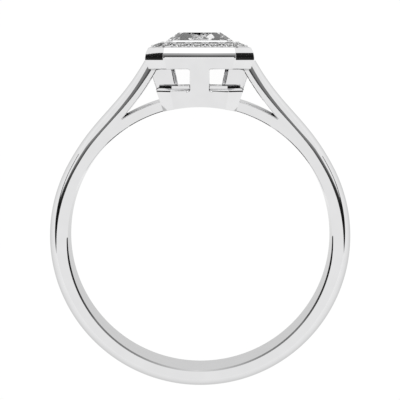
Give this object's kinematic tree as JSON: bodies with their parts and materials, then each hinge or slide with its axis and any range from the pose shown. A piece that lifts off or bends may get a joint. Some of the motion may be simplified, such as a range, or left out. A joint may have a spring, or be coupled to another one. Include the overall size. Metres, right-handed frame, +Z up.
{
  "type": "halo ring",
  "caption": "Finger ring with a cut-corner square stone in a raised halo of small round stones, a pierced gallery and domed shoulders that lift to the head; it lies on its side.",
  "frame": {"origin": "centre of the footprint box, on the surface that the ring lies on", "axes": "+Z up, +Y from the band toward the head, X across the finger hole; the finger hole's axis leans 5.3 degrees from +Z toward -Y"},
  "size_m": [0.0194, 0.0228, 0.0068],
  "materials": {
    "white_gold": "polished rhodium-plated white gold",
    "center_gem": "cut and polished colourless gem",
    "halo_gem": "cut and polished colourless gem"
  },
  "bodies": {
    "root": {"mounting": "white_gold", "center_stone": "center_gem", "halo_stone_01": "halo_gem", "halo_stone_02": "halo_gem", "halo_stone_03": "halo_gem", "halo_stone_04": "halo_gem", "halo_stone_05": "halo_gem", "halo_stone_06": "halo_gem", "halo_stone_07": "halo_gem", "halo_stone_08": "halo_gem", "halo_stone_09": "halo_gem", "halo_stone_10": "halo_gem", "halo_stone_11": "halo_gem", "halo_stone_12": "halo_gem", "halo_stone_13": "halo_gem", "halo_stone_14": "halo_gem", "halo_stone_15": "halo_gem", "halo_stone_16": "halo_gem", "halo_stone_17": "halo_gem", "halo_stone_18": "halo_gem", "halo_stone_19": "halo_gem", "halo_stone_20": "halo_gem"}
  },
  "joints": []
}
